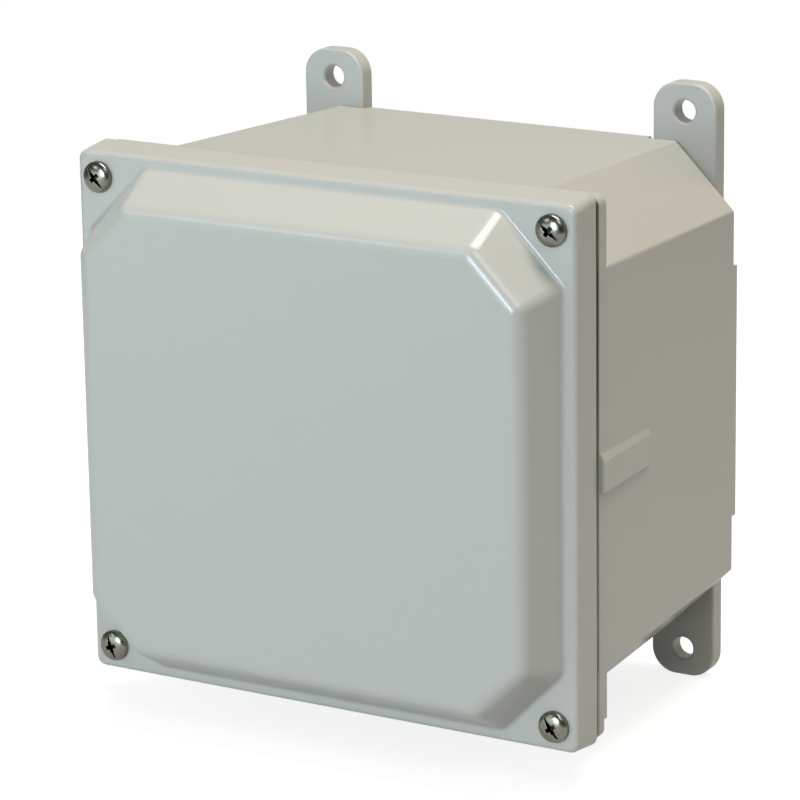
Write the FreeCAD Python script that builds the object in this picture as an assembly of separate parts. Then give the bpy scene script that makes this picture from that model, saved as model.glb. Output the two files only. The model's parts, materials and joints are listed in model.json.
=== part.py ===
import FreeCAD, Part
import math
import os

os.makedirs("parts", exist_ok=True)
V = FreeCAD.Vector

# Millimetres. X to the right, Z up, the front faces -Y and the wall is the plane y = 0.

# Outline of the cover rim and of the flange behind it
rim_w = 168.0
rim_h = 161.6
rim_corner_r = 3.0
rim_t = 12.2
rim_flare = 1.4          # the rim's top and bottom move out this much towards the seam
rim_front_r = 1.5
plate_edge = 0.5         # chamfer along the seam and the flange
seam_gap = 1.1
flange_t = 5.2

# Body
body_depth = 91.5        # from the foot seats to the rear of the flange
side_step = 0.1          # from the flange's edge in to the side walls
top_step = 0.8           # the same for the top and bottom walls
side_draft = 4.6         # how far each wall leans in over the body's depth
top_draft = 3.6
corner_leg = 20.6        # leg of the 45 degree corner chamfers at the flange
corner_leg_loss = 0.8    # what the leg loses over the body's depth
wall_t = 4.2
back_t = 3.6
back_rise = 2.0          # the cross on the back stands this far behind the foot seats
cross_root = 3.0         # depth of the cross in front of the foot seats, flush with the walls
cross_edge = 0.4
body_edge_r = 1.4
hollow_r = 2.5

# Raised front of the cover
dome_rise = 15.4
dome_side_margin = 4.2   # flat rim left beside the dome
dome_top_margin = 3.5
dome_leg = 20.0          # leg of the dome's corner chamfers at its base
dome_leg_loss = 4.4      # what the leg loses over the rise
dome_side_draft = 5.5    # how far each flank leans in over the rise
dome_top_draft = 8.7
dome_side_r = 5.2
dome_front_r = 5.0
dome_base_r = 1.6
dome_skin = 3.3
dome_hollow_r = 3.0
hollow_step = 1.0        # where the dome's hollow meets the rim's, behind the rim's front

# Seal
tongue_t = 1.4
tongue_inset = 2.4       # from the body's outer face at the seam to the tongue
tongue_h = 2.3
groove_side_gap = 1.0
groove_wall_t = 2.0
gasket_t = 2.6
gasket_side_gap = 0.1
gasket_edge_r = 0.8

# Cover screws, #10 with a pan head
screw_edge = 7.5         # from the rim's edges to a screw's axis
screw_r = 2.415
screw_len = 19.05
screw_tip = 0.6          # chamfer at the point
head_r = 4.75
head_h = 2.9
head_edge_h = 1.0        # straight side of the head under its dome
crown_r = 1.6            # flat on top of the head
slot_w = 1.1
slot_depth = 1.2
cross_w = 1.5
cross_len = 4.8
cross_depth = 1.9
thread_gap = 0.085       # radial room between a screw and its insert
shaft_gap = 0.335        # radial room in the cover's plain hole
screw_travel = 6.0
travel_gap = 0.1
ring_r = 3.5
ring_t = 1.5
ring_fit = 0.05
ring_edge_r = 0.3
chamber_gap = 0.4
chamber_roof = 3.6       # rim left under a screw's head
insert_wall = 0.9

# Notch behind the lower corners of the flange
notch_z = 5.7
notch_depth = 2.2
notch_wall = 1.2         # left around an insert

# Hinge on the left, behind the cover rim
pin_r = 1.6
pin_fit = 0.05
hinge_out = 4.5          # from the rim's left face to the pin's axis
hinge_back = 3.7         # from the flange's front face to the pin's axis
knuckle_r = 3.5
knuckle_len = 10.7
barrel_gap = 0.3
barrel_len = 12.0
barrel_below = 0.3       # from a left screw's axis to the end of its barrel
leaf_t = 5.5
leaf_side = 7.0          # from a left screw's axis to the leaf's inner edge
leaf_end = 4.9           # from a left screw's axis to the leaf's upper edge
leaf_gap = 0.5
leaf_wall_gap = 0.8
gusset_run = 13.5
gusset_angle = 40        # where the gusset leaves the knuckle, in degrees
leaf_root = 0.7          # from the axis to the leaf's outer edge, as a share of the knuckle's radius
pin_tip = 0.4
pin_head_r = 2.6
pin_head_t = 1.2

# Feet
foot_t = 5.5
foot_w = 21.3
foot_inset = 17.3        # from the body's rear side edge to a foot's axis
foot_reach = 9.0         # from the body's rear top edge up to the hole
foot_hole_r = 3.5
foot_hole_chamfer = 0.6
foot_tip = 8.7           # from the hole to the foot's end
foot_root = 33.4         # from the body's rear top edge down to the foot's other end
foot_tip_r = 8.0
foot_root_r = 1.5
foot_edge_r = 0.7
foot_screw_up = 7.0      # from the foot's lower end to its screw
foot_screw_r = 2.1
foot_screw_len = 14.0
foot_head_r = 4.0
foot_head_t = 2.4
foot_drive = 3.6
foot_drive_t = 0.9
foot_drive_depth = 1.44
foot_sink = 0.3
foot_fit = 0.05
foot_side_gap = 1.35
foot_end_gap = 3.5
peg_up = 17.0            # from the foot's lower end to its locating peg
peg_r = 3.0
peg_h = 1.8
peg_gap = 0.2
foot_boss_wall = 2.5
foot_boss_h = 9.0

# Panel bosses inside
panel_inset = 25.1       # from the inner back's side edge to a boss
panel_drop = 12.2        # from the inner back's top edge to a boss
panel_boss_wall = 2.0
panel_boss_h = 14.0
panel_insert_wall = 0.7
panel_insert_len = 9.5
panel_screw_len = 9.0
web_t = 2.0
web_drop = 3.0

# Catch rib on the right wall
rib_top = 3.4
rib_bottom = 5.8
rib_slope = 2.6          # rise of its upper face towards the wall
rib_rise = 1.5
rib_back_rise = 1.0
rib_start = 0.5
rib_len = 33.0

# Sizes that follow
body_half_w_front = rim_w / 2 - side_step
body_half_h_front = rim_h / 2 - top_step
body_half_w_rear = body_half_w_front - side_draft
body_half_h_rear = body_half_h_front - top_draft
dome_half_w = rim_w / 2 - dome_side_margin
dome_half_h = rim_h / 2 - dome_top_margin
screw_x = rim_w / 2 - screw_edge
screw_z = rim_h / 2 - screw_edge
insert_r = screw_r + thread_gap + insert_wall
foot_x = body_half_w_rear - foot_inset
foot_hole_z = body_half_h_rear + foot_reach
foot_tip_z = foot_hole_z + foot_tip
foot_root_z = body_half_h_rear - foot_root
foot_screw_z = foot_root_z + foot_screw_up
foot_screw_point = -foot_sink - foot_screw_len
peg_z = foot_root_z + peg_up
back_half_w = foot_x - foot_w / 2 - foot_side_gap
back_half_h = foot_root_z - foot_end_gap
boss_r = foot_screw_r + foot_fit + foot_boss_wall
panel_x = body_half_w_rear - wall_t - panel_inset
panel_z = body_half_h_rear - wall_t - panel_drop
panel_insert_r = screw_r + thread_gap + panel_insert_wall
panel_boss_r = panel_insert_r + panel_boss_wall
barrel_z1 = screw_z - barrel_below
barrel_z0 = barrel_z1 - barrel_len
knuckle_z1 = barrel_z0 - barrel_gap
knuckle_z0 = knuckle_z1 - knuckle_len
leaf_top = screw_z + leaf_end
leaf_right = screw_x - leaf_side

# Planes along Y
seat_y = -foot_t
back_y = seat_y + back_rise
floor_y = seat_y - back_t
flange_rear_y = seat_y - body_depth
flange_front_y = flange_rear_y - flange_t
rim_rear_y = flange_front_y - seam_gap
rim_front_y = rim_rear_y - rim_t
dome_front_y = rim_front_y - dome_rise

nodes = {}


def mirror_x(shape):
    return shape.mirror(V(0, 0, 0), V(1, 0, 0))


def mirror_z(shape):
    return shape.mirror(V(0, 0, 0), V(0, 0, 1))


def at_corners(shape):
    """The shape and its three mirror images, keyed by corner as seen from the front."""
    return {"tr": shape, "tl": mirror_x(shape), "br": mirror_z(shape), "bl": mirror_z(mirror_x(shape))}


def cyl_y(r, x, z, y_front, y_back):
    return Part.makeCylinder(r, y_back - y_front, V(x, y_front, z), V(0, 1, 0))


def cyl_z(r, x, y, z_low, z_high):
    return Part.makeCylinder(r, z_high - z_low, V(x, y, z_low), V(0, 0, 1))


def box(x0, x1, y0, y1, z0, z1):
    return Part.makeBox(x1 - x0, y1 - y0, z1 - z0, V(x0, y0, z0))


def prism_y(points, y_front, y_back):
    """Straight prism along Y on a closed outline of (x, z) points."""
    ring = [V(x, y_front, z) for x, z in points]
    return Part.Face(Part.makePolygon(ring + ring[:1])).extrude(V(0, y_back - y_front, 0))


def inset(section, d):
    """A chamfered rectangle (half width, half height, leg) moved inwards by d on every side."""
    half_w, half_h, leg = section
    return (half_w - d, half_h - d, leg - d * (2 - math.sqrt(2)))


def blend(a, b, t):
    return tuple(p + (q - p) * t for p, q in zip(a, b))


def octagon(section, y):
    half_w, half_h, leg = section
    quarter = [(half_w, half_h - leg), (half_w - leg, half_h)]
    points = list(quarter)
    points += [(-x, z) for x, z in reversed(quarter)]
    points += [(-x, -z) for x, z in quarter]
    points += [(x, -z) for x, z in reversed(quarter)]
    ring = [V(x, y, z) for x, z in points]
    return Part.makePolygon(ring + ring[:1])


def drafted(section_a, y_a, section_b, y_b):
    return Part.makeLoft([octagon(section_a, y_a), octagon(section_b, y_b)], True, True)


def rectangle(half_w, half_h, y):
    ring = [V(half_w, y, half_h), V(-half_w, y, half_h), V(-half_w, y, -half_h), V(half_w, y, -half_h)]
    return Part.makePolygon(ring + ring[:1])


def edges_on_y(shape, y):
    """Edges that lie in one plane across Y."""
    return [e for e in shape.Edges
            if abs(e.BoundBox.YMin - y) < 1e-4 and abs(e.BoundBox.YMax - y) < 1e-4]


def edges_along_y(shape):
    return [e for e in shape.Edges if e.BoundBox.YLength > max(e.BoundBox.XLength, e.BoundBox.ZLength)]


def round_plate(y_front, y_back, flare):
    """The rim's rounded rectangle between two planes, taller at the back by the flare at each end."""
    plate = Part.makeLoft([rectangle(rim_w / 2, rim_h / 2, y_front),
                           rectangle(rim_w / 2, rim_h / 2 + flare, y_back)], True, True)
    return plate.makeFillet(rim_corner_r, edges_along_y(plate))


body_rear = (body_half_w_rear, body_half_h_rear, corner_leg - corner_leg_loss)
body_front = (body_half_w_front, body_half_h_front, corner_leg)
dome_base = (dome_half_w, dome_half_h, dome_leg)
dome_front = (dome_half_w - dome_side_draft, dome_half_h - dome_top_draft, dome_leg - dome_leg_loss)


def body_section(y):
    return blend(body_rear, body_front, (seat_y - y) / body_depth)


seam_section = body_front
groove_outer = inset(seam_section, tongue_inset - groove_side_gap)
groove_inner = inset(seam_section, tongue_inset + tongue_t + groove_side_gap)
cover_hollow = inset(groove_inner, groove_wall_t)
hinge_x = -(rim_w / 2 + hinge_out)
hinge_y = flange_front_y + hinge_back


def leaf_outline(gap):
    """Outline of the upper hinge block in front view, grown by gap towards the flange."""
    wall_sum = sum(seam_section[:2]) - seam_section[2] + (leaf_wall_gap - gap) * math.sqrt(2)
    low = barrel_z0 - gap
    right = leaf_right - gap
    top = leaf_top + gap
    outer = hinge_x + knuckle_r * leaf_root
    return [(outer, low), (-(wall_sum - low), low), (-right, wall_sum - right), (-right, top), (outer, top)]


# Enclosure body
shell = drafted(body_front, flange_rear_y, body_rear, seat_y)
shell = shell.makeFillet(body_edge_r, edges_along_y(shell) + edges_on_y(shell, seat_y))
collar = drafted(body_front, flange_front_y, body_front, flange_rear_y + 1)
cross_ys = (seat_y - cross_root, back_y)
upright = Part.makeLoft([rectangle(back_half_w, body_section(y)[1], y) for y in cross_ys], True, True)
crossbar = Part.makeLoft([rectangle(body_section(y)[0], back_half_h, y) for y in cross_ys], True, True)
cross = upright.fuse(crossbar).removeSplitter()
cross = cross.makeChamfer(cross_edge, edges_on_y(cross, back_y))
flange = round_plate(flange_front_y, flange_rear_y, 0)
flange = flange.makeChamfer(plate_edge, edges_on_y(flange, flange_rear_y)
                            + edges_on_y(flange, flange_front_y))
tongue = drafted(inset(seam_section, tongue_inset), flange_front_y - tongue_h,
                 inset(seam_section, tongue_inset), flange_front_y + 1)
body = shell.fuse([collar, cross, flange, tongue])

hollow = drafted(inset(body_front, wall_t), flange_rear_y, inset(body_section(floor_y), wall_t), floor_y)
hollow = hollow.makeFillet(hollow_r, edges_along_y(hollow) + edges_on_y(hollow, floor_y))
throat = drafted(inset(body_front, wall_t), flange_front_y, inset(body_front, wall_t), flange_rear_y)
throat = throat.makeFillet(hollow_r, edges_along_y(throat))
mouth = drafted(inset(seam_section, tongue_inset + tongue_t), flange_front_y - tongue_h - 1,
                inset(seam_section, tongue_inset + tongue_t), flange_front_y)
body = body.cut([hollow, throat, mouth])

# bosses behind the feet and for a mounting panel, with webs to the nearer wall
foot_boss = cyl_y(boss_r, foot_x, foot_screw_z, floor_y - foot_boss_h, floor_y + 1)
panel_boss = cyl_y(panel_boss_r, panel_x, panel_z, floor_y - panel_boss_h, floor_y + 1)
web_top = body_half_h_rear - wall_t + 1
web = box(panel_x - web_t / 2, panel_x + web_t / 2, floor_y - panel_boss_h + web_drop, floor_y + 1,
          panel_z, web_top)
bosses = []
for part in (foot_boss, panel_boss, web):
    bosses += list(at_corners(part).values())
body = body.fuse(bosses)

# catch rib on the right wall: its upper face slopes up to the wall and it thins towards the back
rib_y0 = flange_front_y + rib_start
rib_y1 = rib_y0 + rib_len


def rib_profile(y, rise):
    wall_x = body_section(y)[0] if y > flange_rear_y else rim_w / 2
    inner_x = wall_x - wall_t / 2
    outer_x = wall_x + rise
    slope = rib_slope * rise / rib_rise
    ring = [V(inner_x, y, -rib_bottom), V(outer_x, y, -rib_bottom), V(outer_x, y, rib_top),
            V(wall_x, y, rib_top + slope), V(inner_x, y, rib_top + slope)]
    return Part.makePolygon(ring + ring[:1])


rib = Part.makeLoft([rib_profile(rib_y0, rib_rise), rib_profile(rib_y1, rib_back_rise)], True, True)
body = body.fuse(rib)

# hinge knuckles with gussets that run into the left wall
gusset_in_x = -(body_section(hinge_y + gusset_run)[0] - wall_t / 2)
gusset_turn = math.radians(gusset_angle)
gusset_face = [(hinge_x, flange_rear_y),
               (hinge_x - knuckle_r * math.cos(gusset_turn), hinge_y + knuckle_r * math.sin(gusset_turn)),
               (gusset_in_x, hinge_y + gusset_run), (gusset_in_x, flange_rear_y)]
gusset_ring = [V(x, y, knuckle_z0) for x, y in gusset_face]
gusset = Part.Face(Part.makePolygon(gusset_ring + gusset_ring[:1])).extrude(V(0, 0, knuckle_len))
knuckle = cyl_z(knuckle_r, hinge_x, hinge_y, knuckle_z0, knuckle_z1).fuse(gusset)
knuckle = knuckle.cut(cyl_z(pin_r, hinge_x, hinge_y, knuckle_z0 - 1, knuckle_z1 + 1))
body = body.fuse([knuckle, mirror_z(knuckle)])

pocket = prism_y(leaf_outline(leaf_gap), flange_front_y - leaf_gap, flange_rear_y + leaf_gap)
notch_box = box(screw_x - leaf_side, rim_w, flange_rear_y - notch_depth, flange_rear_y + 1,
                -rim_h, -(rim_h / 2 - notch_z))
corner = drafted(body_front, flange_rear_y - notch_depth - 1, body_front, flange_rear_y + 2)
notch = notch_box.cut([corner, cyl_y(insert_r + notch_wall, screw_x, -screw_z, flange_front_y,
                                     flange_rear_y + 2)])
cuts = [pocket, mirror_z(pocket), notch, mirror_x(notch)]
insert_bore = cyl_y(insert_r, screw_x, screw_z, flange_front_y - 1, flange_rear_y + 1)
cuts += [insert_bore, mirror_z(insert_bore)]
seat_cuts = [cyl_y(foot_screw_r + foot_fit, foot_x, foot_screw_z, foot_screw_point - 2, seat_y + 1),
             cyl_y(peg_r + foot_fit, foot_x, peg_z, seat_y - peg_h - peg_gap, seat_y + 1),
             cyl_y(panel_insert_r, panel_x, panel_z, floor_y - panel_boss_h - 1,
                   floor_y - panel_boss_h + panel_insert_len)]
for cut in seat_cuts:
    cuts += list(at_corners(cut).values())
body = body.cut(cuts).removeSplitter()
nodes["enclosure_body"] = body

# Cover
rim = round_plate(rim_front_y, rim_rear_y, rim_flare)
rim = rim.makeFillet(rim_front_r, edges_on_y(rim, rim_front_y))
rim = rim.makeChamfer(plate_edge, edges_on_y(rim, rim_rear_y))
dome = drafted(dome_front, dome_front_y, dome_base, rim_front_y)
dome = dome.makeFillet(dome_side_r, edges_along_y(dome))
dome = dome.makeFillet(dome_front_r, edges_on_y(dome, dome_front_y))
cover = rim.fuse(dome)
dome_foot = [e for e in edges_on_y(cover, rim_front_y)
             if max(abs(e.BoundBox.XMin), abs(e.BoundBox.XMax)) < dome_half_w + 0.1
             and max(abs(e.BoundBox.ZMin), abs(e.BoundBox.ZMax)) < dome_half_h + 0.1]
cover = cover.makeFillet(dome_base_r, dome_foot)
inner_front_y = dome_front_y + dome_skin
rim_step_y = rim_front_y + hollow_step
dome_inside = inset(blend(dome_front, dome_base, dome_skin / dome_rise), dome_skin)
dome_hollow = drafted(dome_inside, inner_front_y, cover_hollow, rim_step_y)
dome_hollow = dome_hollow.makeFillet(dome_hollow_r, edges_along_y(dome_hollow)
                                     + edges_on_y(dome_hollow, inner_front_y))
rim_hollow = drafted(cover_hollow, rim_step_y, cover_hollow, rim_rear_y + 1)
groove_floor_y = flange_front_y - tongue_h - gasket_t
groove = drafted(groove_outer, groove_floor_y, groove_outer, rim_rear_y + 1)
groove = groove.cut(drafted(groove_inner, groove_floor_y - 1, groove_inner, rim_rear_y + 2))
chamber_front_y = rim_front_y + chamber_roof
hole = cyl_y(screw_r + shaft_gap, screw_x, screw_z, rim_front_y - 1, rim_rear_y + 1)
chamber = cyl_y(ring_r + chamber_gap, screw_x, screw_z, chamber_front_y, rim_rear_y + 1)
cover_cuts = [dome_hollow, rim_hollow, groove]
for cut in (hole, chamber):
    cover_cuts += list(at_corners(cut).values())
cover = cover.cut(cover_cuts).removeSplitter()
nodes["cover"] = cover

gasket = drafted(inset(groove_outer, gasket_side_gap), groove_floor_y,
                 inset(groove_outer, gasket_side_gap), groove_floor_y + gasket_t)
gasket = gasket.cut(drafted(inset(groove_inner, -gasket_side_gap), groove_floor_y - 1,
                            inset(groove_inner, -gasket_side_gap), groove_floor_y + gasket_t + 1))
gasket = gasket.makeFillet(gasket_edge_r, edges_on_y(gasket, groove_floor_y + gasket_t))
nodes["gasket"] = gasket

# Cover screws and their retaining rings


def pan_screw(x, z, seat, length):
    """Pan head screw pointing +Y, with a slot and a cross recess in the head."""
    crown_y = seat - head_h
    edge_y = seat - head_edge_h
    point_y = seat + length
    run = head_r - crown_r
    drop = head_h - head_edge_h
    dome_r = (run ** 2 + drop ** 2) / (2 * drop)
    half_turn = math.asin(run / dome_r) / 2
    mid = V(crown_r + dome_r * math.sin(half_turn), crown_y + dome_r * (1 - math.cos(half_turn)), 0)
    side = [V(0, crown_y, 0), V(0, point_y, 0), V(screw_r - screw_tip, point_y, 0),
            V(screw_r, point_y - screw_tip, 0), V(screw_r, seat, 0), V(head_r, seat, 0), V(head_r, edge_y, 0)]
    crown = Part.makeLine(V(crown_r, crown_y, 0), V(0, crown_y, 0))
    head_dome = Part.Arc(V(head_r, edge_y, 0), mid, V(crown_r, crown_y, 0)).toShape()
    outline = Part.makePolygon(side).Edges + [head_dome, crown]
    screw = Part.Face(Part.Wire(outline)).revolve(V(0, 0, 0), V(0, 1, 0), 360)
    slot = box(-head_r - 1, head_r + 1, crown_y - 1, crown_y + slot_depth, -slot_w / 2, slot_w / 2)
    arm = box(-cross_len / 2, cross_len / 2, crown_y - 1, crown_y + cross_depth, -cross_w / 2, cross_w / 2)
    screw = screw.cut([slot, arm, arm.copy().rotate(V(0, 0, 0), V(0, 1, 0), 90)])
    screw.translate(V(x, 0, z))
    return screw


ring = cyl_y(ring_r, screw_x, screw_z, 0, ring_t)
ring = ring.cut(cyl_y(screw_r + ring_fit, screw_x, screw_z, -1, ring_t + 1))
ring = ring.makeFillet(ring_edge_r, [e for e in ring.Edges if abs(e.BoundBox.XLength - 2 * ring_r) < 0.01
                                     and e.BoundBox.YLength < 0.01])
ring.translate(V(0, chamber_front_y + screw_travel + travel_gap, 0))
for key, side_x, side_z in (("tl", -1, 1), ("tr", 1, 1), ("bl", -1, -1), ("br", 1, -1)):
    nodes["cover_screw_" + key] = pan_screw(side_x * screw_x, side_z * screw_z, rim_front_y, screw_len)
for key, shape in at_corners(ring).items():
    nodes["screw_ring_" + key] = shape

flange_insert = cyl_y(insert_r, screw_x, screw_z, flange_front_y, flange_rear_y)
flange_insert = flange_insert.cut(cyl_y(screw_r + thread_gap, screw_x, screw_z, flange_front_y - 1,
                                        flange_rear_y + 1))
nodes["flange_insert_tr"] = flange_insert
nodes["flange_insert_br"] = mirror_z(flange_insert)

# Hinge blocks, their inserts and pins
block_rear_y = rim_rear_y + leaf_t
block = prism_y(leaf_outline(0), rim_rear_y, block_rear_y)
block = block.cut(box(-rim_w, -rim_w / 2, rim_rear_y - 1, block_rear_y + 1, barrel_z1, rim_h))
block = block.fuse(cyl_z(knuckle_r, hinge_x, hinge_y, barrel_z0, barrel_z1))
block = block.cut([cyl_z(pin_r + pin_fit, hinge_x, hinge_y, barrel_z0 - 1, barrel_z1 + 1),
                   cyl_y(insert_r, -screw_x, screw_z, rim_rear_y - 1, block_rear_y + 1)]).removeSplitter()
nodes["hinge_block_top"] = block
nodes["hinge_block_bottom"] = mirror_z(block)
block_insert = cyl_y(insert_r, -screw_x, screw_z, rim_rear_y, block_rear_y)
block_insert = block_insert.cut(cyl_y(screw_r + thread_gap, -screw_x, screw_z, rim_rear_y - 1,
                                      block_rear_y + 1))
nodes["block_insert_top"] = block_insert
nodes["block_insert_bottom"] = mirror_z(block_insert)
pin = cyl_z(pin_r, hinge_x, hinge_y, knuckle_z0, barrel_z1)
pin = pin.makeChamfer(pin_tip, [e for e in pin.Edges if abs(e.BoundBox.ZMin - barrel_z1) < 1e-4])
pin = pin.fuse(cyl_z(pin_head_r, hinge_x, hinge_y, knuckle_z0 - pin_head_t, knuckle_z0)).removeSplitter()
nodes["hinge_pin_top"] = pin
nodes["hinge_pin_bottom"] = mirror_z(pin)

# Feet and their screws
foot = box(foot_x - foot_w / 2, foot_x + foot_w / 2, seat_y, 0, foot_root_z, foot_tip_z)
foot = foot.makeFillet(foot_tip_r, [e for e in edges_along_y(foot) if e.BoundBox.ZMin > foot_tip_z - 1])
foot = foot.makeFillet(foot_root_r, [e for e in foot.Edges if e.BoundBox.YLength > foot_t - 0.01
                                     and e.BoundBox.ZMax < foot_root_z + 0.01])
foot = foot.makeFillet(foot_edge_r, edges_on_y(foot, seat_y))
foot = foot.fuse(cyl_y(peg_r, foot_x, peg_z, seat_y - peg_h, seat_y + 1))
hole_chamfer = Part.makeCone(foot_hole_r + foot_hole_chamfer, foot_hole_r, foot_hole_chamfer,
                             V(foot_x, seat_y, foot_hole_z), V(0, 1, 0))
foot_sink_cone = Part.makeCone(foot_screw_r + foot_fit, foot_head_r + foot_fit, foot_head_t,
                               V(foot_x, -foot_sink - foot_head_t, foot_screw_z), V(0, 1, 0))
foot = foot.cut([cyl_y(foot_hole_r, foot_x, foot_hole_z, seat_y - 1, 1), hole_chamfer, foot_sink_cone,
                 cyl_y(foot_screw_r + foot_fit, foot_x, foot_screw_z, seat_y - 1, -foot_sink - 1),
                 cyl_y(foot_head_r + foot_fit, foot_x, foot_screw_z, -foot_sink, 1)]).removeSplitter()
foot_screw = Part.makeCone(foot_screw_r, foot_head_r, foot_head_t,
                           V(foot_x, -foot_sink - foot_head_t, foot_screw_z), V(0, 1, 0))
foot_screw = foot_screw.fuse(cyl_y(foot_screw_r, foot_x, foot_screw_z, foot_screw_point,
                                   -foot_sink - 1)).removeSplitter()
drive = box(-foot_drive / 2, foot_drive / 2, -foot_sink - foot_drive_depth, 1,
            -foot_drive_t / 2, foot_drive_t / 2)
drive = drive.fuse(drive.copy().rotate(V(0, 0, 0), V(0, 1, 0), 90))
drive.translate(V(foot_x, 0, foot_screw_z))
foot_screw = foot_screw.cut(drive)
for key, shape in at_corners(foot).items():
    nodes["foot_" + key] = shape
nodes["foot_screws"] = Part.makeCompound(list(at_corners(foot_screw).values()))

# Panel inserts and screws
boss_y = floor_y - panel_boss_h
panel_insert = cyl_y(panel_insert_r, panel_x, panel_z, boss_y, boss_y + panel_insert_len)
panel_insert = panel_insert.cut(cyl_y(screw_r + thread_gap, panel_x, panel_z, boss_y - 1,
                                          boss_y + panel_insert_len + 1))
nodes["panel_inserts"] = Part.makeCompound(list(at_corners(panel_insert).values()))
nodes["panel_screws"] = Part.makeCompound([pan_screw(sx * panel_x, sz * panel_z, boss_y, panel_screw_len)
                                           for sx in (-1, 1) for sz in (-1, 1)])

for name, shape in nodes.items():
    shape.exportStep("parts/" + name + ".step")
    print(name, "solids", len(shape.Solids), "valid", shape.isValid(), "volume", round(shape.Volume, 1))
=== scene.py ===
import json
import math

import bpy
from mathutils import Matrix, Vector


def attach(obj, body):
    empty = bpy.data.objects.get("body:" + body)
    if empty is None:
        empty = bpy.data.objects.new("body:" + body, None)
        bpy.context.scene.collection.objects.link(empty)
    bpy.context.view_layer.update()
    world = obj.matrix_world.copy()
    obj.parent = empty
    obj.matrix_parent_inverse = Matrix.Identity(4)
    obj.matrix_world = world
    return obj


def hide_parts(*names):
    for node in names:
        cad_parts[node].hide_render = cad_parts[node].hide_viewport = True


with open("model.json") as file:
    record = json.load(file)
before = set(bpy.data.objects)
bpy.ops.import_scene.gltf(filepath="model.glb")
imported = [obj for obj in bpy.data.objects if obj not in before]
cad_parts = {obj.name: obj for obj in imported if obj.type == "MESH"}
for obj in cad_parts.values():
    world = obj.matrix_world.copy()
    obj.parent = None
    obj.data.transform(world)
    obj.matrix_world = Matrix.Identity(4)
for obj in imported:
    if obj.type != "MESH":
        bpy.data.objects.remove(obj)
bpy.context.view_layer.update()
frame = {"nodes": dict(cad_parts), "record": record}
nodes = frame["nodes"]

MM = 0.001

# Cover screws in millimetres, as in the CAD
SCREW_X = 76.5
SCREW_Z = 73.3
SCREW_R = 2.415
SCREW_LEN = 19.05
HEAD_R = 4.75
HEAD_H = 2.9
HEAD_EDGE_H = 1.0
DOME_RUN = 4.6
RIM_FRONT_Y = -115.5
CORNERS = {"tl": (-1, 1), "tr": (1, 1), "bl": (-1, -1), "br": (1, -1)}

# Their recesses, as length, width and depth, and how far each screw is turned, in degrees
SLOT = (2.4 * HEAD_R, 1.05, 1.2)
CROSS = (4.6, 1.6, 2.1)
RECESS_ANGLE = {"tl": -50, "tr": -37, "bl": -70, "br": -54}
RECESS_TAPER = (0.55, 0.6, 1)
CUTTER_RISE = 2

# Their threads, which the CAD leaves out
THREAD_PITCH = 0.794
THREAD_LEN = 8.0
THREAD_DEPTH = 0.45
THREAD_START = 0.9
THREAD_RUNOUT = 0.4
RIDGE_R = 0.38
RIDGE_SINK = 0.36
CORE_OVERLAP = 0.3
SHANK_OVERLAP = 0.4
TIP_BEVEL = 0.3

# Seam between the cover's rim and the flange, in metres: the planes between which the painted shade starts
# and is full
SEAM_HALF_WIDTH = 0.0829
SEAM_HALF_HEIGHT = 0.0797
SEAM_EDGE = (0.0, 0.0004)
SEAM_FRONT = (-0.1039, -0.1035)
SEAM_REAR = (-0.1017, -0.1020)
SEAM_FADE = (-0.03, 0.06)
SEAM_LEAST = 0.15

# Painted shade in the screws' recesses, in metres
RECESS_SHADE_R = (0.0029, 0.0025)
RECESS_SHADE_FLOOR = (-0.1181, -0.1175)
RECESS_SHADE_END = (-0.1150, -0.1155)

PLASTIC_IOR = 1.58
WORN_PLASTIC = (0.75, 0.76, 0.74)
WORN_FOAM = (0.06, 0.06, 0.06)
DUST_COLOUR = (0.55, 0.53, 0.48)
# Painted shade in the seam between the cover's rim and the flange
SEAM_SHADE_COLOUR = (0.07, 0.06, 0.045)
# Painted shade in the screws' recesses
RECESS_SHADE_COLOUR = (0.02, 0.02, 0.015)


# Node groups
def new_group(name, inputs, outputs):
    group = bpy.data.node_groups.new(name, "ShaderNodeTree")
    for label, kind, default in inputs:
        socket = group.interface.new_socket(label, in_out="INPUT", socket_type="NodeSocket" + kind)
        if default is not None:
            socket.default_value = default
    for label, kind in outputs:
        group.interface.new_socket(label, in_out="OUTPUT", socket_type="NodeSocket" + kind)
    return group, group.nodes.new("NodeGroupInput"), group.nodes.new("NodeGroupOutput")


def feed(tree, socket, value):
    """Gives a socket a plain value or links another socket to it."""
    if isinstance(value, bpy.types.NodeSocket):
        tree.links.new(value, socket)
    else:
        socket.default_value = value


def maths(tree, operation, first, second=0.0, clamp=False):
    node = tree.nodes.new("ShaderNodeMath")
    node.operation = operation
    node.use_clamp = clamp
    feed(tree, node.inputs[0], first)
    feed(tree, node.inputs[1], second)
    return node.outputs["Value"]


def times(tree, first, *others):
    """The product of several values."""
    for other in others:
        first = maths(tree, "MULTIPLY", first, other)
    return first


def past(tree, value, limit):
    """How far a value lies past a limit, on either side of 0."""
    return maths(tree, "SUBTRACT", maths(tree, "ABSOLUTE", value), limit)


def ranged(tree, value, to_low=0.0, to_high=1.0, from_low=0.0, from_high=1.0, kind="LINEAR"):
    """Maps a range of values to another and stops at its ends."""
    node = tree.nodes.new("ShaderNodeMapRange")
    node.interpolation_type = kind
    feed(tree, node.inputs["Value"], value)
    feed(tree, node.inputs["To Min"], to_low)
    feed(tree, node.inputs["To Max"], to_high)
    feed(tree, node.inputs["From Min"], from_low)
    feed(tree, node.inputs["From Max"], from_high)
    return node.outputs["Result"]


def ramp(tree, value, ends):
    """0 at the first end, 1 at the second and smooth between them."""
    return ranged(tree, value, from_low=ends[0], from_high=ends[1], kind="SMOOTHSTEP")


def noise(tree, vector, scale, detail, roughness=0.5):
    node = tree.nodes.new("ShaderNodeTexNoise")
    feed(tree, node.inputs["Vector"], vector)
    feed(tree, node.inputs["Scale"], scale)
    node.inputs["Detail"].default_value = detail
    node.inputs["Roughness"].default_value = roughness
    return node.outputs["Fac"]


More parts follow.
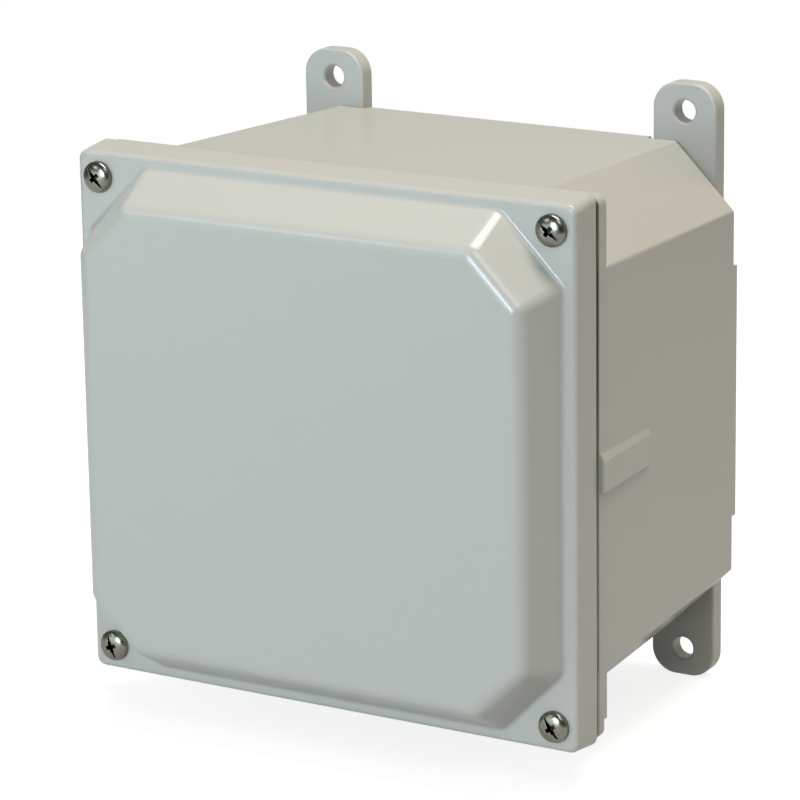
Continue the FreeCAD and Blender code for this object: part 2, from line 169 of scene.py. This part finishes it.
def grain_group():
    """Fine moulded grain: a value, and a normal bumped by it."""
    group, gin, gout = new_group("Moulded grain", [
        ("Vector", "Vector", None),
        ("Scale", "Float", 1800.0),
        ("Strength", "Float", 0.06),
        ("Distance", "Float", 0.00002),
        ("Normal", "Vector", None)], [("Value", "Float"), ("Normal", "Vector")])
    fine = noise(group, gin.outputs["Vector"], gin.outputs["Scale"], 3.0, 0.6)
    bump = group.nodes.new("ShaderNodeBump")
    feed(group, bump.inputs["Height"], fine)
    for label in ("Strength", "Distance", "Normal"):
        feed(group, bump.inputs[label], gin.outputs[label])
    feed(group, gout.inputs["Value"], fine)
    feed(group, gout.inputs["Normal"], bump.outputs["Normal"])
    return group


def mottle_group():
    """Large soft unevenness, as a value from 0 to 1."""
    group, gin, gout = new_group("Soft mottle", [
        ("Vector", "Vector", None),
        ("Scale", "Float", 30.0),
        ("Low", "Float", 0.2),
        ("High", "Float", 0.8)], [("Value", "Float")])
    cloud = noise(group, gin.outputs["Vector"], gin.outputs["Scale"], 4.0)
    value = ranged(group, cloud, from_low=gin.outputs["Low"], from_high=gin.outputs["High"])
    feed(group, gout.inputs["Value"], value)
    return group


def edge_group():
    """Rounded edge normal, and a mask that is 1 on edges."""
    group, gin, gout = new_group("Soft edges", [
        ("Radius", "Float", 0.0003),
        ("Gain", "Float", 4.0)], [("Mask", "Float"), ("Normal", "Vector")])
    bevel = group.nodes.new("ShaderNodeBevel")
    bevel.samples = 6
    feed(group, bevel.inputs["Radius"], gin.outputs["Radius"])
    geometry = group.nodes.new("ShaderNodeNewGeometry")
    dot = group.nodes.new("ShaderNodeVectorMath")
    dot.operation = "DOT_PRODUCT"
    feed(group, dot.inputs[0], bevel.outputs["Normal"])
    feed(group, dot.inputs[1], geometry.outputs["Normal"])
    turned = maths(group, "SUBTRACT", 1.0, dot.outputs["Value"])
    feed(group, gout.inputs["Mask"], maths(group, "MULTIPLY", turned, gin.outputs["Gain"], True))
    feed(group, gout.inputs["Normal"], bevel.outputs["Normal"])
    return group


def dust_group():
    """A little dust on faces that look up, as a mask."""
    group, gin, gout = new_group("Settled dust", [
        ("Vector", "Vector", None),
        ("Scale", "Float", 120.0),
        ("Amount", "Float", 0.1)], [("Mask", "Float")])
    geometry = group.nodes.new("ShaderNodeNewGeometry")
    normal = group.nodes.new("ShaderNodeSeparateXYZ")
    feed(group, normal.inputs["Vector"], geometry.outputs["Normal"])
    facing_up = ranged(group, normal.outputs["Z"], from_low=0.6, from_high=1.0)
    specks = noise(group, gin.outputs["Vector"], gin.outputs["Scale"], 6.0)
    dust = times(group, facing_up, specks)
    feed(group, gout.inputs["Mask"], maths(group, "MULTIPLY", dust, gin.outputs["Amount"], True))
    return group


def seam_shade_group():
    """Painted shade on the rim's rear edge and the flange's front edge, as a mask that fades downwards."""
    group, gin, gout = new_group("Seam painted_shade", [
        ("Vector", "Vector", None),
        ("Half Width", "Float", SEAM_HALF_WIDTH),
        ("Half Height", "Float", SEAM_HALF_HEIGHT),
        ("Amount", "Float", 0.8)], [("Mask", "Float")])
    split = group.nodes.new("ShaderNodeSeparateXYZ")
    feed(group, split.inputs["Vector"], gin.outputs["Vector"])
    past_x = past(group, split.outputs["X"], gin.outputs["Half Width"])
    past_z = past(group, split.outputs["Z"], gin.outputs["Half Height"])
    outer = ramp(group, maths(group, "MAXIMUM", past_x, past_z), SEAM_EDGE)
    front = ramp(group, split.outputs["Y"], SEAM_FRONT)
    rear = ramp(group, split.outputs["Y"], SEAM_REAR)
    upper = times(group, ramp(group, split.outputs["Z"], SEAM_FADE), 1.0 - SEAM_LEAST)
    amount = times(group, maths(group, "ADD", upper, SEAM_LEAST), gin.outputs["Amount"])
    feed(group, gout.inputs["Mask"], maths(group, "MULTIPLY", times(group, front, rear, outer), amount, True))
    return group


def recess_shade_group():
    """Painted shade in the recesses of the cover screws, as a mask."""
    group, gin, gout = new_group("Recess grease", [
        ("Vector", "Vector", None),
        ("Amount", "Float", 0.9)], [("Mask", "Float")])
    split = group.nodes.new("ShaderNodeSeparateXYZ")
    feed(group, split.inputs["Vector"], gin.outputs["Vector"])
    off_x = past(group, split.outputs["X"], SCREW_X * MM)
    off_z = past(group, split.outputs["Z"], SCREW_Z * MM)
    square = maths(group, "ADD", times(group, off_x, off_x), times(group, off_z, off_z))
    near = ramp(group, maths(group, "SQRT", square), RECESS_SHADE_R)
    deep = ramp(group, split.outputs["Y"], RECESS_SHADE_FLOOR)
    outside = ramp(group, split.outputs["Y"], RECESS_SHADE_END)
    spot = times(group, near, deep, outside)
    feed(group, gout.inputs["Mask"], maths(group, "MULTIPLY", spot, gin.outputs["Amount"], True))
    return group


GRAIN = grain_group()
MOTTLE = mottle_group()
EDGES = edge_group()
DUST = dust_group()
SEAM = seam_shade_group()
RECESS = recess_shade_group()


# Materials
def use_group(tree, group, vector=None, **values):
    node = tree.nodes.new("ShaderNodeGroup")
    node.node_tree = group
    for label, value in values.items():
        feed(tree, node.inputs[label], value)
    if vector is not None:
        feed(tree, node.inputs["Vector"], vector)
    return node.outputs


def mix_colour(tree, first, second, factor):
    """Mixes two colours, of which the first may be a socket."""
    node = tree.nodes.new("ShaderNodeMix")
    node.data_type = "RGBA"
    feed(tree, node.inputs["Factor"], factor)
    feed(tree, node.inputs["A"], (*first, 1.0) if isinstance(first, tuple) else first)
    feed(tree, node.inputs["B"], (*second, 1.0))
    return node.outputs["Result"]


def darker(colour, share):
    return tuple(c * share for c in colour)


def new_material(name):
    mat = bpy.data.materials.new(name)
    mat.use_nodes = True
    return mat, mat.node_tree, mat.node_tree.nodes["Principled BSDF"]


def plastic(name, colour, rough, edge_radius=0.0003, grain=0.05, worn=WORN_PLASTIC, dust=0.05, seam=0.0):
    """Moulded plastic with fine grain, slightly uneven gloss and soft edges."""
    mat, tree, shader = new_material(name)
    place = tree.nodes.new("ShaderNodeTexCoord").outputs["Object"]
    edges = use_group(tree, EDGES, Radius=edge_radius, Gain=1.2)
    grains = use_group(tree, GRAIN, place, Scale=2600.0, Strength=grain, Distance=0.00002,
                       Normal=edges["Normal"])
    mottle = use_group(tree, MOTTLE, place, Scale=14.0, Low=0.0, High=1.0)["Value"]
    dusty = use_group(tree, DUST, place, Scale=160.0, Amount=dust)["Mask"]
    tone = mix_colour(tree, colour, darker(colour, 0.99), mottle)
    tone = mix_colour(tree, tone, worn, ranged(tree, edges["Mask"], 0.0, 0.25))
    tone = mix_colour(tree, tone, DUST_COLOUR, dusty)
    # Painted shade along the seam between cover and flange, darker at the top
    if seam:
        tone = mix_colour(tree, tone, SEAM_SHADE_COLOUR, use_group(tree, SEAM, place, Amount=seam)["Mask"])
    feed(tree, shader.inputs["Base Color"], tone)
    feed(tree, shader.inputs["Roughness"], ranged(tree, mottle, rough - 0.01, rough + 0.01))
    feed(tree, shader.inputs["Normal"], grains["Normal"])
    shader.inputs["IOR"].default_value = PLASTIC_IOR
    return mat


def metal(name, colour, rough, painted_recess_shade=0.0):
    """Bare or plated metal with a slightly uneven gloss."""
    mat, tree, shader = new_material(name)
    place = tree.nodes.new("ShaderNodeTexCoord").outputs["Object"]
    edges = use_group(tree, EDGES, Radius=0.00012, Gain=1.5)
    grains = use_group(tree, GRAIN, place, Scale=900.0, Strength=0.05, Distance=0.00003,
                       Normal=edges["Normal"])
    mottle = use_group(tree, MOTTLE, place, Scale=260.0)["Value"]
    tone = mix_colour(tree, colour, darker(colour, 0.8), mottle)
    # Painted shade in the screws' recesses
    if painted_recess_shade:
        tone = mix_colour(tree, tone, RECESS_SHADE_COLOUR, use_group(tree, RECESS, place, Amount=painted_recess_shade)["Mask"])
    feed(tree, shader.inputs["Base Color"], tone)
    feed(tree, shader.inputs["Roughness"], ranged(tree, mottle, rough, rough + 0.08))
    feed(tree, shader.inputs["Normal"], grains["Normal"])
    shader.inputs["Metallic"].default_value = 1.0
    return mat


# Steel of the cover screws, with painted shade in their recesses
STEEL = metal("stainless_steel", (0.27, 0.275, 0.225), 0.22, painted_recess_shade=0.9)
MATERIAL_OF = {
    # The housing carries painted shade along its seam
    "housing": plastic("housing_plastic", (0.49, 0.505, 0.465), 0.28, seam=0.85),
    "feet": plastic("feet_plastic", (0.485, 0.505, 0.475), 0.30, edge_radius=0.0004),
    "stainless": STEEL,
    "zinc_screws": metal("zinc_plated_steel", (0.66, 0.67, 0.69), 0.26),
    "insert_brass": metal("insert_brass", (0.78, 0.60, 0.30), 0.24),
    "gasket_foam": plastic("gasket_foam", (0.035, 0.035, 0.036), 0.85, grain=0.6, worn=WORN_FOAM, dust=0.0),
    "ring_nylon": plastic("ring_nylon", (0.74, 0.71, 0.62), 0.42, edge_radius=0.0001),
}
for part in frame["record"]["subparts"]:
    mesh = nodes[part["node"]].data
    mesh.materials.clear()
    mesh.materials.append(MATERIAL_OF[part["material_slot"]])


# Modelling helpers
def select_only(obj):
    bpy.ops.object.select_all(action="DESELECT")
    obj.select_set(True)
    bpy.context.view_layer.objects.active = obj


def apply_all(obj):
    select_only(obj)
    bpy.ops.object.transform_apply(location=True, rotation=True, scale=True)
    for modifier in list(obj.modifiers):
        bpy.ops.object.modifier_apply(modifier=modifier.name)


def cylinder(radius, low, high, vertices=48):
    """A cylinder about Z between two heights in millimetres, with its place still to be applied."""
    bpy.ops.mesh.primitive_cylinder_add(vertices=vertices, radius=radius * MM, depth=(high - low) * MM,
                                        location=(0, 0, (low + high) / 2 * MM))
    return bpy.context.object


def bevelled(obj, width, segments, by_weight=False):
    bevel = obj.modifiers.new("bevel", "BEVEL")
    bevel.width = width * MM
    bevel.segments = segments
    if by_weight:
        bevel.limit_method = "WEIGHT"
    apply_all(obj)


def cut_by(obj, cutter):
    modifier = obj.modifiers.new("cut", "BOOLEAN")
    modifier.operation = "DIFFERENCE"
    modifier.solver = "EXACT"
    modifier.object = cutter
    apply_all(obj)
    bpy.data.objects.remove(cutter)


def recess_cutter(size, top_z, angle):
    """A bar that narrows towards its floor, for a slot or one arm of a cross recess."""
    length, width, depth = size
    height = depth + CUTTER_RISE
    bpy.ops.mesh.primitive_cube_add(size=1)
    bar = bpy.context.object
    bar.scale = (length * MM, width * MM, height * MM)
    bar.location = (0, 0, (top_z - depth + height / 2) * MM)
    apply_all(bar)
    bpy.ops.object.mode_set(mode="EDIT")
    bpy.ops.mesh.select_all(action="DESELECT")
    bpy.ops.object.mode_set(mode="OBJECT")
    floor_z = min(v.co.z for v in bar.data.vertices)
    for vertex in bar.data.vertices:
        vertex.select = vertex.co.z < floor_z + 1e-6
    bpy.ops.object.mode_set(mode="EDIT")
    bpy.ops.transform.resize(value=RECESS_TAPER, center_override=(0, 0, floor_z))
    bpy.ops.object.mode_set(mode="OBJECT")
    bar.rotation_euler = (0, 0, math.radians(angle))
    apply_all(bar)
    return bar


def screw_head(angle):
    """Pan head on z = 0, made tall with a round bevel over its whole top and then flattened to an ellipse."""
    stretch = DOME_RUN / (HEAD_H - HEAD_EDGE_H)
    head = cylinder(HEAD_R, 0, HEAD_H * stretch, vertices=96)
    weights = head.data.attributes.new("bevel_weight_edge", "FLOAT", "EDGE")
    for edge in head.data.edges:
        is_top = min(head.data.vertices[i].co.z for i in edge.vertices) > 0
        weights.data[edge.index].value = 1.0 if is_top else 0.0
    bevelled(head, DOME_RUN, 24, by_weight=True)
    head.scale = (1, 1, 1 / stretch)
    apply_all(head)
    for size, turn in ((SLOT, 0), (CROSS, 0), (CROSS, 90)):
        cut_by(head, recess_cutter(size, HEAD_H, angle + turn))
    return head


def screw_thread():
    """The thread's ridge: a triangle wound up around the core."""
    bpy.ops.mesh.primitive_circle_add(vertices=3, radius=RIDGE_R * MM, fill_type="NGON")
    ridge = bpy.context.object
    ridge.rotation_euler = (math.radians(90), 0, 0)
    ridge.location = ((SCREW_R - RIDGE_SINK) * MM, 0, (THREAD_START - SCREW_LEN) * MM)
    apply_all(ridge)
    helix = ridge.modifiers.new("helix", "SCREW")
    helix.axis = "Z"
    helix.screw_offset = THREAD_PITCH * MM
    helix.iterations = int((THREAD_LEN - THREAD_START - THREAD_RUNOUT) / THREAD_PITCH)
    helix.steps = 40
    helix.render_steps = 40
    helix.use_merge_vertices = False
    apply_all(ridge)
    bpy.ops.object.mode_set(mode="EDIT")
    bpy.ops.mesh.select_all(action="SELECT")
    bpy.ops.mesh.remove_doubles(threshold=1e-7)
    bpy.ops.mesh.normals_make_consistent(inside=False)
    bpy.ops.object.mode_set(mode="OBJECT")
    return ridge


def screw_piece(name, angle):
    """Pan head screw along Z, with its crown up and the underside of its head at z = 0."""
    thread_top = THREAD_LEN - SCREW_LEN
    head = screw_head(angle)
    shank = cylinder(SCREW_R, thread_top, SHANK_OVERLAP)
    apply_all(shank)
    core = cylinder(SCREW_R - THREAD_DEPTH, -SCREW_LEN, thread_top + CORE_OVERLAP)
    bevelled(core, TIP_BEVEL, 2)
    ridge = screw_thread()
    bpy.ops.object.select_all(action="DESELECT")
    for obj in (head, shank, core, ridge):
        obj.select_set(True)
    bpy.context.view_layer.objects.active = head
    bpy.ops.object.join()
    head.name = head.data.name = name
    select_only(head)
    bpy.ops.object.shade_smooth_by_angle(angle=math.radians(32))
    return head


# Cover screws
for key, (side_x, side_z) in CORNERS.items():
    piece = screw_piece("pan_screw_" + key, RECESS_ANGLE[key])
    piece.rotation_euler = (math.radians(90), 0, 0)
    piece.location = (side_x * SCREW_X * MM, RIM_FRONT_Y * MM, side_z * SCREW_Z * MM)
    apply_all(piece)
    piece.data.materials.clear()
    piece.data.materials.append(STEEL)
    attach(piece, "screw_" + key)
    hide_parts("cover_screw_" + key)


# Floor, seen and mirrored brighter than it is lit
FLOOR_PLACE = (0, -0.05, -0.0942)
FLOOR_R = 0.75
FLOOR_SEEN = 0.80
FLOOR_MIRRORED = 0.40

bpy.ops.mesh.primitive_circle_add(vertices=128, radius=FLOOR_R, fill_type="NGON", location=FLOOR_PLACE)
floor = bpy.context.object
floor.name = "floor"
floor_mat, tree, shader = new_material("studio_floor")
place = tree.nodes.new("ShaderNodeTexCoord").outputs["Object"]
tone = mix_colour(tree, (0.40, 0.395, 0.375), (0.42, 0.415, 0.395), noise(tree, place, 6.0, 2.0))
rays = tree.nodes.new("ShaderNodeLightPath")
seen = times(tree, rays.outputs["Is Camera Ray"], FLOOR_SEEN)
mirrored = times(tree, rays.outputs["Is Glossy Ray"], FLOOR_MIRRORED)
feed(tree, shader.inputs["Base Color"], tone)
feed(tree, shader.inputs["Emission Strength"], maths(tree, "ADD", seen, mirrored))
shader.inputs["Emission Color"].default_value = (1, 1, 1, 1)
shader.inputs["Roughness"].default_value = 0.9
floor.data.materials.append(floor_mat)

# Lamps: name, place, aim, size, power and colour
AIM = (0, -0.06, 0)
LAMPS = [
    ("top_light", (0.2, -0.05, 1.4), AIM, (0.36, 0.9), 15.6, (1.09, 1.0, 0.92)),
    ("front_light", (-0.05, -1.5, 0.27), AIM, (0.35, 0.5), 9.4, (0.87, 1.0, 1.18)),
    ("streak_light", (0.7, -0.85, 1.03), AIM, (0.5, 0.5), 3.3, (1.0, 0.93, 0.82)),
    ("rear_light", (0.35, 0.95, 0.62), AIM, (0.6, 0.6), 0.3, (1.0, 0.5, 0.1)),
    ("low_light", (-0.35, -0.68, -0.03), AIM, (0.5, 0.35), 1.0, (0.85, 1.0, 0.9)),
    ("spark_left", (-0.65, -1.08, 0.61), (0, -0.11, 0), (0.22, 0.22), 1.0, (1, 1, 1)),
]
for name, location, aim, size, power, colour in LAMPS:
    light = bpy.data.lights.new(name, "AREA")
    light.shape = "RECTANGLE"
    light.size, light.size_y = size
    light.energy = power
    light.color = colour
    lamp = bpy.data.objects.new(name, light)
    bpy.context.scene.collection.objects.link(lamp)
    lamp.location = location
    lamp.rotation_euler = (Vector(aim) - Vector(location)).to_track_quat("-Z", "Y").to_euler()

# The surroundings are bright behind the box and dim in front of it, and white where the camera sees them
DIM = (0.015, 0.015, 0.015)
BRIGHT = (0.46, 0.455, 0.42)

world = bpy.data.worlds.new("studio")
bpy.context.scene.world = world
world.use_nodes = True
tree = world.node_tree
direction = tree.nodes.new("ShaderNodeSeparateXYZ")
feed(tree, direction.inputs["Vector"], tree.nodes.new("ShaderNodeTexCoord").outputs["Generated"])
behind = ranged(tree, direction.outputs["Y"], from_low=-0.8, from_high=0.9)
background = tree.nodes["Background"]
feed(tree, background.inputs["Color"], mix_colour(tree, DIM, BRIGHT, behind))
white = tree.nodes.new("ShaderNodeBackground")
white.inputs["Color"].default_value = (1, 1, 1, 1)
rays = tree.nodes.new("ShaderNodeLightPath")
mixer = tree.nodes.new("ShaderNodeMixShader")
feed(tree, mixer.inputs["Fac"], rays.outputs["Is Camera Ray"])
tree.links.new(background.outputs["Background"], mixer.inputs[1])
tree.links.new(white.outputs["Background"], mixer.inputs[2])
tree.links.new(mixer.outputs["Shader"], tree.nodes["World Output"].inputs["Surface"])

bpy.context.scene.view_settings.view_transform = "Standard"

# Camera at the photograph's viewpoint, with its axes and the pixel that it looks at
CAMERA_PLACE = (0.607673, -1.087854, 0.33329)
CAMERA_RIGHT = Vector((0.8608749, 0.5086047, -0.0146878))
CAMERA_UP = Vector((-0.1256947, 0.240548, 0.9624643))
CAMERA_FORWARD = Vector((-0.4930469, 0.8267152, -0.2710106))
SENSOR_WIDTH = 36.0
FOCAL_LENGTH = 183.783
PHOTO_SIZE = 800.0
CENTRE_X = 404.52
CENTRE_Y = 411.35

camera_data = bpy.data.cameras.new("photo_camera")
camera = bpy.data.objects.new("photo_camera", camera_data)
bpy.context.scene.collection.objects.link(camera)
turn = Matrix((CAMERA_RIGHT, CAMERA_UP, -CAMERA_FORWARD)).transposed().to_4x4()
camera.matrix_world = Matrix.Translation(CAMERA_PLACE) @ turn
camera_data.sensor_width = SENSOR_WIDTH
camera_data.lens = FOCAL_LENGTH
camera_data.shift_x = -(CENTRE_X - PHOTO_SIZE / 2) / PHOTO_SIZE
camera_data.shift_y = (CENTRE_Y - PHOTO_SIZE / 2) / PHOTO_SIZE
camera_data.clip_start = 0.01
camera_data.clip_end = 50.0
bpy.context.scene.camera = camera
